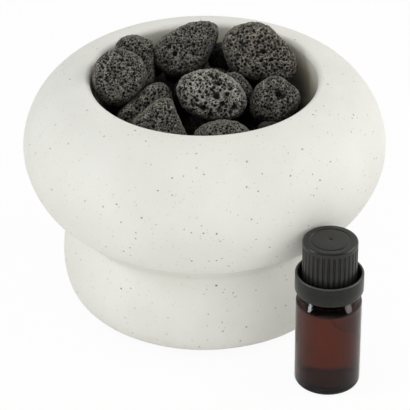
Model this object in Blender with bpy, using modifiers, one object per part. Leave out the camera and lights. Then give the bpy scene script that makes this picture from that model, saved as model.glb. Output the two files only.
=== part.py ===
"""Passive oil diffuser: a cast speckled vessel heaped with lava stones, and its amber dropper bottle.

Units are metres, +Z is up, and the origin is the centre of the vessel's underside.
"""
import math

import bmesh
import bpy
from mathutils import Matrix, Vector, noise
from mathutils.bvhtree import BVHTree

MM = 0.001

# Clearance kept between pieces that touch
GAP = 0.3 * MM

# Vessel: heights are above the table, radii from the vessel's axis
RIM_HEIGHT = 95.0 * MM
MOUTH_RADIUS = 44.3 * MM
LIP_ROUND = 2.4 * MM
BULB_RADIUS = 71.5 * MM
BULB_HEIGHT = 66.2 * MM
WAIST_RADIUS = 51.0 * MM
WAIST_HEIGHT = 39.3 * MM
WAIST_FILLET = 3.4 * MM
BASE_RADIUS = 57.3 * MM
BASE_HEIGHT = 15.5 * MM
FOOT_RADIUS = 50.8 * MM
BULB_TOP_POWER = 1.86
BULB_UNDER_POWER = 1.85
BASE_POWER = 1.87
FOOT_POWER = 2.0
CAVITY_FLOOR_HEIGHT = 48.0 * MM
CAVITY_TAPER = 3.0 * MM
CAVITY_FILLET = 2.5 * MM
VESSEL_STEPS = 46

# Soft pad under the vessel
PAD_RADIUS = 41.0 * MM
PAD_THICKNESS = 1.2 * MM
PAD_BEVEL = 0.3 * MM

# Lava stones: sizes and places are laid out for this mouth, and follow it when it changes
HEAP_MOUTH = 44.3
HEAP_TILT = math.radians(32.0)
STONE_EDGE_POWER = 6.0
STONE_LUMP = 0.07
STONE_LUMP_SCALE = 1.7
BED_STONE_RADIUS = 10.8
BED_RING_RADIUS = 27.0
BED_MIDDLE = (1.0, -4.6)
BED_RING_COUNT = 7
BED_RING_TURN = math.radians(184.0)
FILL_LIMIT = 11.0
FILL_SQUASH = 1.9

# Bottle: heights are above the table, radii from the bottle's axis
BOTTLE_TURN = math.radians(-55.75)
BOTTLE_STANDOFF = 0.6 * MM
GLASS_RADIUS = 12.5 * MM
GLASS_WALL = 1.6 * MM
GLASS_FLOOR = 2.4 * MM
GLASS_FOOT_ROUND = 1.6 * MM
SHOULDER_HEIGHT = 34.4 * MM
SHOULDER_ROUND = 2.6 * MM
SHOULDER_RISE = 6.6 * MM
NECK_RADIUS = 8.3 * MM
NECK_WALL = 2.7 * MM
NECK_LENGTH = 17.1 * MM
OIL_HEADROOM = 0.5 * MM
BOTTLE_STEPS = 36

# Dropper insert pressed into the neck
INSERT_FLANGE = 1.0 * MM
INSERT_FLANGE_INSET = 0.9 * MM
INSERT_DEPTH = 9.0 * MM
INSERT_WALL = 1.1 * MM
DRIP_BORE = 0.9 * MM
DRIP_TUBE_LENGTH = 13.0 * MM

# Screw cap with its liner
CAP_WALL = 1.0 * MM
CAP_THREAD_ROOM = 1.1 * MM
CAP_TOP = 2.0 * MM
CAP_CHAMFER = 0.6 * MM
CAP_PLAIN_BAND = 1.9 * MM
CAP_RIBS = 32
CAP_RIB_DEPTH = 0.45 * MM
CAP_GROOVE_INSET = 3.0 * MM
CAP_GROOVE_WIDTH = 0.7 * MM
CAP_GROOVE_DEPTH = 0.3 * MM
CAP_GATE_RADIUS = 0.7 * MM
LINER_THICKNESS = 1.0 * MM

# Tamper ring below the cap
RING_WALL = 1.2 * MM
RING_CAP_ROOM = 1.4 * MM
RING_DROP = 0.3 * MM
RING_DEPTH = 8.3 * MM
RING_DISH_HEIGHT = 4.0 * MM
RING_CHAMFER = 1.1 * MM
RING_FLOOR = 1.8 * MM

# Values that follow from those above
FOOT_HEIGHT = PAD_THICKNESS + GAP
NECK_FOOT_HEIGHT = SHOULDER_HEIGHT + SHOULDER_RISE
NECK_TOP_HEIGHT = NECK_FOOT_HEIGHT + NECK_LENGTH
NECK_BORE = NECK_RADIUS - NECK_WALL
OIL_LEVEL = SHOULDER_HEIGHT - GLASS_WALL / 2 - OIL_HEADROOM
INSERT_FLANGE_RADIUS = NECK_RADIUS - INSERT_FLANGE_INSET
CAP_RADIUS = NECK_RADIUS + CAP_THREAD_ROOM + CAP_WALL
CAP_GROOVE_RADIUS = CAP_RADIUS - CAP_GROOVE_INSET
RING_RADIUS = CAP_RADIUS + RING_CAP_ROOM + RING_WALL
RING_FOOT = NECK_FOOT_HEIGHT - RING_DROP
RING_TOP = RING_FOOT + RING_DEPTH
RING_DISH = RING_FOOT + RING_DISH_HEIGHT
CAP_SKIRT_FOOT = RING_DISH + GAP
RING_BELOW_BULB = min(1.0, max(0.0, (BULB_HEIGHT - RING_TOP) / (BULB_HEIGHT - WAIST_HEIGHT)))
BULB_SHARE_AT_RING = (1.0 - RING_BELOW_BULB ** BULB_UNDER_POWER) ** (1.0 / BULB_UNDER_POWER)
BULB_REACH_AT_RING = WAIST_RADIUS + (BULB_RADIUS - WAIST_RADIUS) * BULB_SHARE_AT_RING
BOTTLE_DISTANCE = BOTTLE_STANDOFF + max(BULB_RADIUS + CAP_RADIUS, BULB_REACH_AT_RING + RING_RADIUS)
BOTTLE_PLACE = Vector((
    BOTTLE_DISTANCE * math.cos(BOTTLE_TURN),
    BOTTLE_DISTANCE * math.sin(BOTTLE_TURN),
    0.0,
))
INSERT_TOP = NECK_TOP_HEIGHT + GAP + INSERT_FLANGE
LINER_FOOT = INSERT_TOP + GAP
CAP_CEILING = LINER_FOOT + LINER_THICKNESS + GAP
CAP_HEIGHT = CAP_CEILING + CAP_TOP
HEAP_UNIT = MOUTH_RADIUS / HEAP_MOUTH

# Stones that show: place from the mouth's middle, outline flats (angle, distance), front and back depth
TOP_STONES = {
    "lava_stone_01": ((-32.2, 2.4, -3.0),
                      ((180, 11.2), (135, 13.2), (92, 13.0), (45, 11.4), (0, 10.4),
                       (-45, 8.1), (-95, 10.0), (-140, 11.4)), 9.5, 7.0),
    "lava_stone_02": ((-26.0, 20.3, -3.0),
                      ((131, 10.2), (75, 8.2), (0, 5.8), (-90, 12.0), (190, 9.4)), 6.0, 5.4),
    "lava_stone_03": ((-7.2, 24.0, -1.0),
                      ((121, 8.6), (85, 11.6), (-23, 9.4), (-74, 9.5), (236, 12.8),
                       (180, 12.9)), 9.0, 10.0),
    "lava_stone_04": ((21.0, 20.6, -1.6),
                      ((97, 12.8), (44, 10.9), (-15, 16.8), (-95, 10.6), (225, 12.0),
                       (180, 13.6), (135, 16.0)), 7.8, 9.4),
    "lava_stone_05": ((3.5, 21.0, -15.6),
                      ((90, 6.4), (0, 7.4), (180, 6.0), (-90, 7.5), (45, 7.8)), 6.5, 6.5),
    "lava_stone_06": ((11.7, 7.6, -11.0),
                      ((100, 6.8), (40, 6.2), (-20, 7.0), (-90, 7.0), (180, 6.6)), 6.6, 5.4),
    "lava_stone_07": ((2.2, -7.5, -4.4),
                      ((180, 15.0), (127, 11.8), (90, 9.9), (49, 10.4), (0, 15.2),
                       (-45, 14.4), (-90, 9.8), (239, 10.0), (205, 12.6)), 8.6, 8.6),
    "lava_stone_08": ((28.0, -3.8, -8.0),
                      ((95, 9.4), (136, 8.6), (47, 7.6), (-10, 10.2), (-44, 8.6),
                       (-95, 9.4), (180, 10.2)), 8.0, 7.0),
    "lava_stone_09": ((-22.5, -3.9, -12.6),
                      ((130, 6.2), (85, 12.6), (40, 13.2), (5, 10.6), (-50, 7.0),
                       (220, 11.6)), 8.0, 8.0),
    "lava_stone_10": ((-17.0, -21.2, -9.0),
                      ((131, 7.4), (95, 10.6), (21, 7.5), (-90, 9.0), (200, 12.0)), 8.0, 8.0),
    "lava_stone_11": ((6.9, -25.9, -15.0),
                      ((88, 8.4), (125, 9.8), (50, 10.6), (0, 12.4), (180, 11.8),
                       (-90, 9.0)), 9.0, 8.5),
}

# Small stones that fell between the others: place from the middle of the mouth
FILL_STONES = (
    (-6.0, 8.0, -13.0),
    (17.0, 31.0, -18.0),
    (-9.0, 34.0, -18.0),
    (-33.0, 12.0, -19.0),
    (25.0, -22.0, -14.0),
    (7.0, 32.5, -9.0),
    (-20.0, 31.0, -12.0),
)


def clear_scene():
    for obj in list(bpy.data.objects):
        bpy.data.objects.remove(obj)


def make_collection(name):
    collection = bpy.data.collections.new(name)
    bpy.context.scene.collection.children.link(collection)
    return collection


def make_material(name, colour, roughness, metallic=0.0):
    material = bpy.data.materials.new(name)
    material.use_nodes = True
    shader = material.node_tree.nodes["Principled BSDF"]
    shader.inputs["Base Color"].default_value = (*colour, 1.0)
    shader.inputs["Roughness"].default_value = roughness
    shader.inputs["Metallic"].default_value = metallic
    return material


def add_object(name, mesh, collection, material, place=(0.0, 0.0, 0.0)):
    mesh.materials.append(material)
    obj = bpy.data.objects.new(name, mesh)
    obj.location = place
    collection.objects.link(obj)
    return obj


def turned(name, profile, steps, closed=False):
    """A mesh turned about Z from points (radius, height) that run down the outer side."""
    mesh = bpy.data.meshes.new(name)
    points = [(radius, 0.0, height) for radius, height in profile]
    edges = [(i, i + 1) for i in range(len(points) - 1)]
    if closed:
        edges.append((len(points) - 1, 0))
    mesh.from_pydata(points, edges, [])
    turner = bpy.data.objects.new(name, mesh)
    bpy.context.scene.collection.objects.link(turner)
    screw = turner.modifiers.new("Turn", "SCREW")
    screw.axis = "Z"
    screw.steps = steps
    screw.render_steps = steps
    screw.use_merge_vertices = True
    screw.merge_threshold = 0.00001
    solid = bpy.data.meshes.new_from_object(turner.evaluated_get(bpy.context.evaluated_depsgraph_get()))
    bpy.data.objects.remove(turner)
    bpy.data.meshes.remove(mesh)
    solid.name = name
    return solid


def smooth(mesh, angle):
    mesh.shade_smooth()
    mesh.set_sharp_from_angle(angle=math.radians(angle))


def bow(level, upright, power, steps):
    """Points of a rounded quarter that leaves `level` flat and arrives at `upright` plumb."""
    points = []
    for i in range(steps + 1):
        turn = 0.5 * math.pi * i / steps
        out = math.sin(turn) ** (2.0 / power)
        drop = max(math.cos(turn), 0.0) ** (2.0 / power)
        points.append((level[0] + (upright[0] - level[0]) * out,
                       upright[1] + (level[1] - upright[1]) * drop))
    return points


def arc(centre, radius, start, end, steps):
    """Points of a circular arc, with angles in degrees from the outward direction."""
    turns = [math.radians(start + (end - start) * i / steps) for i in range(steps + 1)]
    return [(centre[0] + radius * math.cos(t), centre[1] + radius * math.sin(t)) for t in turns]


def filleted(above, below, reach, steps=4):
    """Join two runs that meet in a corner, easing the corner over `reach` on each side."""
    corner = Vector(below[0])
    above = [p for p in above if (Vector(p) - corner).length > reach]
    below = [p for p in below if (Vector(p) - corner).length > reach]
    first = corner + (Vector(above[-1]) - corner).normalized() * reach
    last = corner + (Vector(below[0]) - corner).normalized() * reach
    eased = []
    for i in range(steps + 1):
        s = i / steps
        point = first * (1 - s) ** 2 + corner * 2 * s * (1 - s) + last * s ** 2
        eased.append(tuple(point))
    return above + eased + below


def vessel_profile():
    floor_radius = MOUTH_RADIUS - CAVITY_TAPER
    crest = (MOUTH_RADIUS + LIP_ROUND, RIM_HEIGHT)
    bulb = (BULB_RADIUS, BULB_HEIGHT)
    waist = (WAIST_RADIUS, WAIST_HEIGHT)
    base = (BASE_RADIUS, BASE_HEIGHT)
    foot = (FOOT_RADIUS, FOOT_HEIGHT)
    cavity = [(0.0, CAVITY_FLOOR_HEIGHT)]
    cavity += arc((floor_radius - CAVITY_FILLET, CAVITY_FLOOR_HEIGHT + CAVITY_FILLET),
                  CAVITY_FILLET, -90, 0, 4)
    lip = arc((crest[0], RIM_HEIGHT - LIP_ROUND), LIP_ROUND, 180, 90, 4)
    upper = bow(crest, bulb, BULB_TOP_POWER, 10)[1:]
    under = bow(waist, bulb, BULB_UNDER_POWER, 9)[::-1][1:]
    side = bow(waist, base, BASE_POWER, 6)
    sole = bow(foot, base, FOOT_POWER, 6)[::-1][1:]
    return cavity + lip + upper + filleted(under, side, WAIST_FILLET) + sole + [(0.0, FOOT_HEIGHT)]


def make_vessel(collection):
    mesh = turned("vessel", vessel_profile(), VESSEL_STEPS)
    smooth(mesh, 40)
    stoneware = make_material("speckled stoneware", (0.76, 0.75, 0.71), 0.75)
    return add_object("vessel", mesh, collection, stoneware)


def make_base_pad(collection):
    bpy.ops.mesh.primitive_cylinder_add(vertices=48, radius=PAD_RADIUS, depth=PAD_THICKNESS)
    pad = bpy.context.object
    pad.name = "base_pad"
    pad.location.z = PAD_THICKNESS / 2
    bevel = pad.modifiers.new("Edge", "BEVEL")
    bevel.width = PAD_BEVEL
    bevel.segments = 1
    pad.data.materials.append(make_material("pad foam", (0.08, 0.08, 0.08), 0.9))
    for owner in list(pad.users_collection):
        owner.objects.unlink(pad)
    collection.objects.link(pad)


def stone_mesh(name, flats, subdivisions, seed):
    """A lumpy stone: a ball cut back by flats, each a direction and a distance from the centre."""
    builder = bmesh.new()
    bmesh.ops.create_icosphere(builder, subdivisions=subdivisions, radius=1.0)
    shift = Vector((seed * 3.1, seed * 1.7, seed * 2.3))
    for vert in builder.verts:
        way = vert.co.normalized()
        facing = [max(0.0, normal.dot(way)) / reach for normal, reach in flats]
        reach = sum(f ** STONE_EDGE_POWER for f in facing) ** (-1.0 / STONE_EDGE_POWER)
        lump = 1.0 + STONE_LUMP * noise.noise(way * STONE_LUMP_SCALE + shift)
        vert.co = way * reach * lump
    mesh = bpy.data.meshes.new(name)
    builder.to_mesh(mesh)
    builder.free()
    smooth(mesh, 60)
    return mesh


def top_stone_flats(outline, front, back):
    """The flats of a stone that shows, turned so that its outline faces the front of the heap."""
    tilt = Matrix.Rotation(-HEAP_TILT, 3, "X")
    away = tilt @ Vector((0.0, 1.0, 0.0))
    flats = [(-away, front * HEAP_UNIT), (away, back * HEAP_UNIT)]
    for angle, reach in outline:
        turn = math.radians(angle)
        flats.append((tilt @ Vector((math.cos(turn), 0.0, math.sin(turn))), reach * HEAP_UNIT))
    return flats


def bed_stone_flats(radius, height, turn):
    """The flats of a hidden stone: six sides, a foot and a crown."""
    flats = [(Vector((0.0, 0.0, 1.0)), height / 2), (Vector((0.0, 0.0, -1.0)), height / 2)]
    for i in range(6):
        side = turn + math.pi * i / 3
        flats.append((Vector((math.cos(side), math.sin(side), 0.0)), radius))
    return flats


def tree_of(mesh, place, skin=0.0):
    """The surface of a mesh at a place, moved outwards from the mesh's centre by a skin."""
    points = [vert.co + vert.co.normalized() * skin + place for vert in mesh.vertices]
    return BVHTree.FromPolygons(points, [tuple(face.vertices) for face in mesh.polygons])


def touches(mesh, place, trees):
    own = tree_of(mesh, place, GAP)
    return any(own.overlap(tree) for tree in trees)


def settle(mesh, place, trees, step=0.5 * MM):
    """Lower a stone until it all but touches what is below it."""
    low = place.copy()
    while not touches(mesh, low - Vector((0.0, 0.0, step)), trees):
        low.z -= step
        if low.z < CAVITY_FLOOR_HEIGHT:
            return place
    free, hit = low.z, low.z - step
    for _ in range(6):
        middle = (free + hit) / 2
        if touches(mesh, Vector((low.x, low.y, middle)), trees):
            hit = middle
        else:
            free = middle
    return Vector((low.x, low.y, free))


def bed_stone(name, spot, turn, seed, trees):
    """A hidden stone as tall as the room between the cavity floor and the stones it carries."""
    floor = CAVITY_FLOOR_HEIGHT + GAP
    radius = BED_STONE_RADIUS * HEAP_UNIT
    short, tall = 0.0, RIM_HEIGHT - floor
    for _ in range(9):
        height = (short + tall) / 2
        mesh = stone_mesh(name, bed_stone_flats(radius, height, turn), 2, seed)
        lowest = min(vert.co.z for vert in mesh.vertices)
        if touches(mesh, Vector((spot[0], spot[1], floor - lowest)), trees):
            tall = height
        else:
            short = height
        bpy.data.meshes.remove(mesh)
    mesh = stone_mesh(name, bed_stone_flats(radius, short, turn), 2, seed)
    lowest = min(vert.co.z for vert in mesh.vertices)
    return mesh, Vector((spot[0], spot[1], floor - lowest))


def heap_trees(heap, left_out=None):
    return [tree_of(mesh, place) for name, (mesh, place) in heap.items() if name != left_out]


def add_top_stones(heap):
    for seed, (name, (spot, outline, front, back)) in enumerate(TOP_STONES.items()):
        mesh = stone_mesh(name, top_stone_flats(outline, front, back), 3, seed)
        heap[name] = (mesh, Vector(spot) * HEAP_UNIT + Vector((0.0, 0.0, RIM_HEIGHT)))


def add_bed_stones(heap):
    """One hidden stone in the middle and a ring round it, under the stones that show."""
    spots = [(BED_MIDDLE[0] * HEAP_UNIT, BED_MIDDLE[1] * HEAP_UNIT)]
    for i in range(BED_RING_COUNT):
        turn = BED_RING_TURN + 2 * math.pi * i / BED_RING_COUNT
        reach = BED_RING_RADIUS * HEAP_UNIT
        spots.append((reach * math.cos(turn), reach * math.sin(turn)))
    for i, spot in enumerate(spots):
        name = f"lava_stone_{len(heap) + 1:02d}"
        heap[name] = bed_stone(name, spot, 0.9 * i, 20 + i, heap_trees(heap))


def fill_stone(name, place, turn, seed, trees):
    """A small stone as large as the room round its place."""
    small, large = 0.0, FILL_LIMIT * HEAP_UNIT
    for _ in range(8):
        reach = (small + large) / 2
        mesh = stone_mesh(name, bed_stone_flats(reach, FILL_SQUASH * reach, turn), 2, seed)
        if touches(mesh, place, trees):
            large = reach
        else:
            small = reach
        bpy.data.meshes.remove(mesh)
    mesh = stone_mesh(name, bed_stone_flats(small, FILL_SQUASH * small, turn), 2, seed)
    return mesh, settle(mesh, place, trees)


def add_fill_stones(heap, vessel_tree):
    for i, spot in enumerate(FILL_STONES):
        name = f"lava_stone_{len(heap) + 1:02d}"
        place = Vector(spot) * HEAP_UNIT + Vector((0.0, 0.0, RIM_HEIGHT))
        heap[name] = fill_stone(name, place, i, 40 + i, heap_trees(heap) + [vessel_tree])


def make_stones(collection, vessel):
    lava = make_material("lava rock", (0.055, 0.054, 0.056), 0.92)
    vessel_tree = tree_of(vessel.data, Vector())
    heap = {}
    add_top_stones(heap)
    add_bed_stones(heap)
    for name in TOP_STONES:
        mesh, place = heap[name]
        heap[name] = (mesh, settle(mesh, place, heap_trees(heap, name) + [vessel_tree]))
    add_fill_stones(heap, vessel_tree)
    for name, (mesh, place) in heap.items():
        add_object(name, mesh, collection, lava, place)


def shoulder(inset):
    """The bottle's outline from its neck down to its straight side, set in by a wall."""
    neck = NECK_RADIUS if inset == 0.0 else NECK_BORE
    side = GLASS_RADIUS - inset
    start = (neck, NECK_FOOT_HEIGHT - inset)
    bend = (side - SHOULDER_ROUND, SHOULDER_HEIGHT + SHOULDER_ROUND - inset / 2)
    turn = arc((bend[0], SHOULDER_HEIGHT - inset / 2), SHOULDER_ROUND, 75, 0, 4)
    return [start] + turn


def make_bottle_glass(collection):
    inside = [(0.0, GLASS_FLOOR)]
    inner = GLASS_RADIUS - GLASS_WALL
    inside += arc((inner - GLASS_FOOT_ROUND, GLASS_FLOOR + GLASS_FOOT_ROUND), GLASS_FOOT_ROUND, -90, 0, 3)
    inside += shoulder(GLASS_WALL)[::-1]
    lip = [(NECK_BORE, NECK_TOP_HEIGHT), (NECK_RADIUS, NECK_TOP_HEIGHT)]
    foot = arc((GLASS_RADIUS - GLASS_FOOT_ROUND, GLASS_FOOT_ROUND), GLASS_FOOT_ROUND, 0, -90, 4)
    profile = inside + lip + shoulder(0.0) + foot + [(0.0, 0.0)]
    mesh = turned("bottle_glass", profile, BOTTLE_STEPS)
    smooth(mesh, 35)
    amber = make_material("amber glass", (0.16, 0.045, 0.012), 0.05)
    add_object("bottle_glass", mesh, collection, amber, BOTTLE_PLACE)


def make_oil(collection):
    radius = GLASS_RADIUS - GLASS_WALL - GAP
    foot = GLASS_FLOOR + GAP
    profile = [(0.0, OIL_LEVEL), (radius, OIL_LEVEL)]
    profile += arc((radius - GLASS_FOOT_ROUND, foot + GLASS_FOOT_ROUND), GLASS_FOOT_ROUND, 0, -90, 3)
    profile.append((0.0, foot))
    mesh = turned("oil_fill", profile, BOTTLE_STEPS)
    smooth(mesh, 35)
    oil = make_material("oil", (0.75, 0.55, 0.12), 0.05)
    add_object("oil_fill", mesh, collection, oil, BOTTLE_PLACE)


def make_dropper_insert(collection):
    plug = NECK_BORE - GAP
    under = NECK_TOP_HEIGHT + GAP
    foot = under - INSERT_DEPTH
    tube = DRIP_BORE + INSERT_WALL
    profile = [
        (DRIP_BORE, INSERT_TOP), (INSERT_FLANGE_RADIUS, INSERT_TOP), (INSERT_FLANGE_RADIUS, under),
        (plug, under), (plug, foot), (plug - INSERT_WALL, foot), (plug - INSERT_WALL, under),
        (tube, under), (tube, under - DRIP_TUBE_LENGTH), (DRIP_BORE, under - DRIP_TUBE_LENGTH),
    ]
    mesh = turned("dropper_insert", profile, BOTTLE_STEPS, closed=True)
    smooth(mesh, 35)
    clear_plastic = make_material("clear plastic", (0.85, 0.85, 0.83), 0.35)
    add_object("dropper_insert", mesh, collection, clear_plastic, BOTTLE_PLACE)


def cap_profile():
    """The cap from the middle of its top, out over the edge, down the skirt and up the bore."""
    groove_in = CAP_GROOVE_RADIUS - CAP_GROOVE_WIDTH / 2
    groove_out = CAP_GROOVE_RADIUS + CAP_GROOVE_WIDTH / 2
    dip = CAP_HEIGHT - CAP_GROOVE_DEPTH
    bore = CAP_RADIUS - CAP_WALL
    return [
        (0.0, dip), (CAP_GATE_RADIUS, dip), (CAP_GATE_RADIUS + CAP_GROOVE_DEPTH, CAP_HEIGHT),
        (groove_in, CAP_HEIGHT), (CAP_GROOVE_RADIUS, dip), (groove_out, CAP_HEIGHT),
        (CAP_RADIUS - CAP_CHAMFER, CAP_HEIGHT), (CAP_RADIUS, CAP_HEIGHT - CAP_CHAMFER),
        (CAP_RADIUS, CAP_HEIGHT - CAP_PLAIN_BAND),
        (CAP_RADIUS, CAP_HEIGHT - CAP_PLAIN_BAND - CAP_RIB_DEPTH),
        (CAP_RADIUS, CAP_SKIRT_FOOT), (bore, CAP_SKIRT_FOOT), (bore, CAP_CEILING), (0.0, CAP_CEILING),
    ]


def make_screw_cap(collection):
    mesh = turned("screw_cap", cap_profile(), CAP_RIBS * 3)
    fluted_below = CAP_HEIGHT - CAP_PLAIN_BAND - CAP_RIB_DEPTH / 2
    for vert in mesh.vertices:
        radius = math.hypot(vert.co.x, vert.co.y)
        if vert.co.z < fluted_below and radius > CAP_RADIUS - CAP_WALL / 2:
            turn = math.atan2(vert.co.y, vert.co.x) * CAP_RIBS
            ratio = 1.0 - CAP_RIB_DEPTH * (1.0 - math.cos(turn)) / 1.5 / radius
            vert.co.x *= ratio
            vert.co.y *= ratio
    smooth(mesh, 30)
    black = make_material("black cap plastic", (0.022, 0.021, 0.021), 0.4)
    add_object("screw_cap", mesh, collection, black, BOTTLE_PLACE)


def make_cap_liner(collection):
    radius = CAP_RADIUS - CAP_WALL - GAP
    top = LINER_FOOT + LINER_THICKNESS
    profile = [(0.0, top), (radius, top), (radius, LINER_FOOT), (0.0, LINER_FOOT)]
    mesh = turned("cap_liner", profile, BOTTLE_STEPS)
    smooth(mesh, 35)
    foam = make_material("liner foam", (0.85, 0.85, 0.82), 0.8)
    add_object("cap_liner", mesh, collection, foam, BOTTLE_PLACE)


def make_tamper_ring(collection):
    """A dished ring round the foot of the cap's skirt, held under the neck."""
    hole = NECK_RADIUS + GAP
    wall = RING_RADIUS - RING_WALL
    well = CAP_RADIUS + GAP
    ease = RING_CHAMFER / 3
    profile = [
        (wall, RING_TOP), (RING_RADIUS - ease, RING_TOP), (RING_RADIUS, RING_TOP - ease),
        (RING_RADIUS, RING_FOOT + RING_CHAMFER), (RING_RADIUS - ease, RING_FOOT + ease),
        (RING_RADIUS - RING_CHAMFER, RING_FOOT), (wall - RING_CHAMFER, RING_FOOT),
        (hole, RING_DISH - RING_FLOOR), (hole, RING_DISH), (well, RING_DISH),
    ]
    mesh = turned("tamper_ring", profile, BOTTLE_STEPS, closed=True)
    smooth(mesh, 35)
    black = make_material("black ring plastic", (0.022, 0.021, 0.021), 0.4)
    add_object("tamper_ring", mesh, collection, black, BOTTLE_PLACE)


def main():
    clear_scene()
    collection = make_collection("essential_oil_diffuser")
    vessel = make_vessel(collection)
    make_base_pad(collection)
    make_stones(collection, vessel)
    make_bottle_glass(collection)
    make_oil(collection)
    make_dropper_insert(collection)
    make_tamper_ring(collection)
    make_cap_liner(collection)
    make_screw_cap(collection)


main()
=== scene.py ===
"""Looks of the lava-stone oil diffuser: speckled casting, porous stones, amber bottle and black cap."""
import math
import random

import bmesh
import bpy
import numpy as np
from mathutils import Matrix, Vector, noise
from mathutils.kdtree import KDTree


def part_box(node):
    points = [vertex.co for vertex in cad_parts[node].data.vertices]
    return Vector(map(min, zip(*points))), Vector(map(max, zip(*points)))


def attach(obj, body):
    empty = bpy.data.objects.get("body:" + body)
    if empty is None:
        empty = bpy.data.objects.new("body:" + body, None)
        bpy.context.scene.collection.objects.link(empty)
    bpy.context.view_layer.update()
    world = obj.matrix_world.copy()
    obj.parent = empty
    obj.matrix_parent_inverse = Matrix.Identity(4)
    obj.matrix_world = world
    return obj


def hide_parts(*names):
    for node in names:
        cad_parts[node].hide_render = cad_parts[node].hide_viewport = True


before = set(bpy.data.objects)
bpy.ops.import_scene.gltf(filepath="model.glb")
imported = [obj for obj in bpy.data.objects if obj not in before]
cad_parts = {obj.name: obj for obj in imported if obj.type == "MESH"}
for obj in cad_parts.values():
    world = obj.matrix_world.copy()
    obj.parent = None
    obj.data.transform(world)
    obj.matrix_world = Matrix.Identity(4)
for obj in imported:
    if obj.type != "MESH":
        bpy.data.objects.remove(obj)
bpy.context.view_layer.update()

MM = 0.001

# Distances within which points are one point, or lie on one plane
MERGE = 0.001 * MM
NEAR = 0.01 * MM

# Camera, as fitted to the photograph
CAMERA_ELEVATION = math.radians(32.0)
CAMERA_DISTANCE = 0.9126
CAMERA_TARGET = Vector((0.0, 0.0, 0.0359))
CAMERA_LENS = 199.15
CAMERA_SENSOR = 36.0
CAMERA_ROLL = math.radians(-0.4)

# Studio: the glow on things from the horizon to overhead, and the backdrop and ceiling that gloss mirrors
AMBIENT_LOW = 0.92
AMBIENT_HIGH = 0.47
BACKDROP = 1.0
CEILING = 0.08
BACKDROP_TURN = 0.3
BACKDROP_TOP_FRONT = 0.35
BACKDROP_TOP_REAR = 0.85
BACKDROP_FADE = 0.25
WHITE = (1.0, 1.0, 1.0, 1.0)

# Floor: how white it is to the eye, mirrored in gloss and seen through glass
FLOOR_WHITE = 0.93
FLOOR_MIRRORED = 0.15
FLOOR_THROUGH = 0.6
FLOOR_SIZE = 12.0
FLOOR_HEIGHT = -0.3 * MM
FLOOR_TINTS = ((0.90, 0.90, 0.895, 1), (0.92, 0.92, 0.915, 1))

# Lamps: place, width and height in metres, power and colour
WARM = (1.0, 0.995, 0.98)
COOL = (0.93, 0.98, 1.0)
LAMPS = {
    "top": ((-0.1, -0.15, 0.8), 0.25, 0.25, 0.35, WARM),
    "left": ((-0.64, -0.12, 0.56), 0.26, 0.1, 1.35, COOL),
    "right": ((0.66, 0.02, 0.46), 0.7, 0.16, 2.2, WARM),
    "front": ((-0.15, -0.85, 0.12), 0.7, 0.7, 1.7, WARM),
}
LAMP_AIM = Vector((0.0, 0.0, 0.06))

# The range of a noise texture that is spread between two tints
CLOUD = (0.3, 0.7)

# Casting: its tints and the uneven form of its wall
CAST_TINTS = ((0.745, 0.735, 0.68, 1), (0.80, 0.795, 0.745, 1))
CAST_GRAIN = (0.60, 0.585, 0.53, 1)
CAST_GRAIN_RANGE = (0.35, 0.75)
CAST_GRAIN_MOST = 0.12
CAST_ROUGHNESS = (0.62, 0.78)
CAST_UNEVEN = 0.16 * MM
CAST_WAVES = 45.0
VESSEL_STEPS = 192
VESSEL_PIECES = 4

# Specks in the casting: cell, smallest and largest radius, the shares of cells that hold one, and colours
DARK_SPECKS = (2.3 * MM, 0.15 * MM, 0.40 * MM)
DARK_PATCHES = (0.38, 0.62)
DARK_SHARES = (0.18, 0.55)
DARK_COLOUR = (0.085, 0.07, 0.056, 1)
DARK_STRENGTH = 0.95
FAINT_SPECKS = (1.25 * MM, 0.14 * MM, 0.3 * MM)
FAINT_SHARE = 0.25
FAINT_COLOUR = (0.30, 0.27, 0.22, 1)
FAINT_STRENGTH = 0.45
SPECK_WANDER = 0.6 * MM
SPECK_EDGE = 0.12 * MM
SPECK_PALEST = 0.45
SPECK_RELIEF = -0.5

# Inside the bowl, painted shade: a warm painted shade below the lip, then a dark painted shade further down:
# heights of none and full, strength and colour
BOWL_RADIUS = 45.5 * MM
BOWL_EDGE = 1.0 * MM
BOWL_RAGGED = 6.0 * MM
BOWL_PAINTED_SHADES = (
    ((98.0 * MM, 90.0 * MM), 0.8, (0.50, 0.44, 0.32, 1)),
    ((91.0 * MM, 74.0 * MM), 0.93, (0.066, 0.056, 0.040, 1)),
)

# Rock: crest and body colours, and how strong the painted highlight on the ridges and the painted shade in
# the fine pits are
LAVA_LOOKS = {
    "lava_charcoal": ((0.355, 0.339, 0.280, 1), (0.020, 0.019, 0.016, 1), 0.5, 0.92),
    "lava_brown": ((0.325, 0.292, 0.240, 1), (0.018, 0.015, 0.013, 1), 0.9, 0.55),
    "lava_grey": ((0.470, 0.452, 0.390, 1), (0.030, 0.029, 0.025, 1), 0.9, 0.6),
    # a darker copy of the charcoal rock: painted shade for the stones below
    "lava_shaded_below": ((0.060, 0.058, 0.050, 1), (0.022, 0.021, 0.018, 1), 0.5, 0.92),
}
LAVA_PIT_SHADE = (0.005, 0.005, 0.0045, 1)
LAVA_GRAIN = (0.45, 0.62)
LAVA_CLOUD = (0.35, 0.65)
LAVA_CLOUD_SHARE = 0.35
LAVA_ROUGHNESS = (0.72, 0.95)
FINE_CELL = 0.5 * MM
FINE_EDGE = (0.5, 0.28)
FINE_CHANCE = (0.2, 0.45)
FINE_DEPTH = 0.6

# Stones: which are seen whole, their mesh size and how much they swell to make up for their dents
SEEN_STONES = [f"lava_stone_{i:02d}" for i in range(1, 12)]
SEEN_VOXEL = 0.19 * MM
DEEP_VOXEL = 0.6 * MM
STONE_ROUNDING = 2
STONE_SWELL = 0.35 * MM
SEED_SHIFT = (1.37, 2.11, 0.73)

# Dents in the stones' skin: scale and millimetres high
BROAD = (160.0, 0.4)
MIDDLE = (420.0, 0.28)
CRUMB = (1150.0, 0.16)
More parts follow.
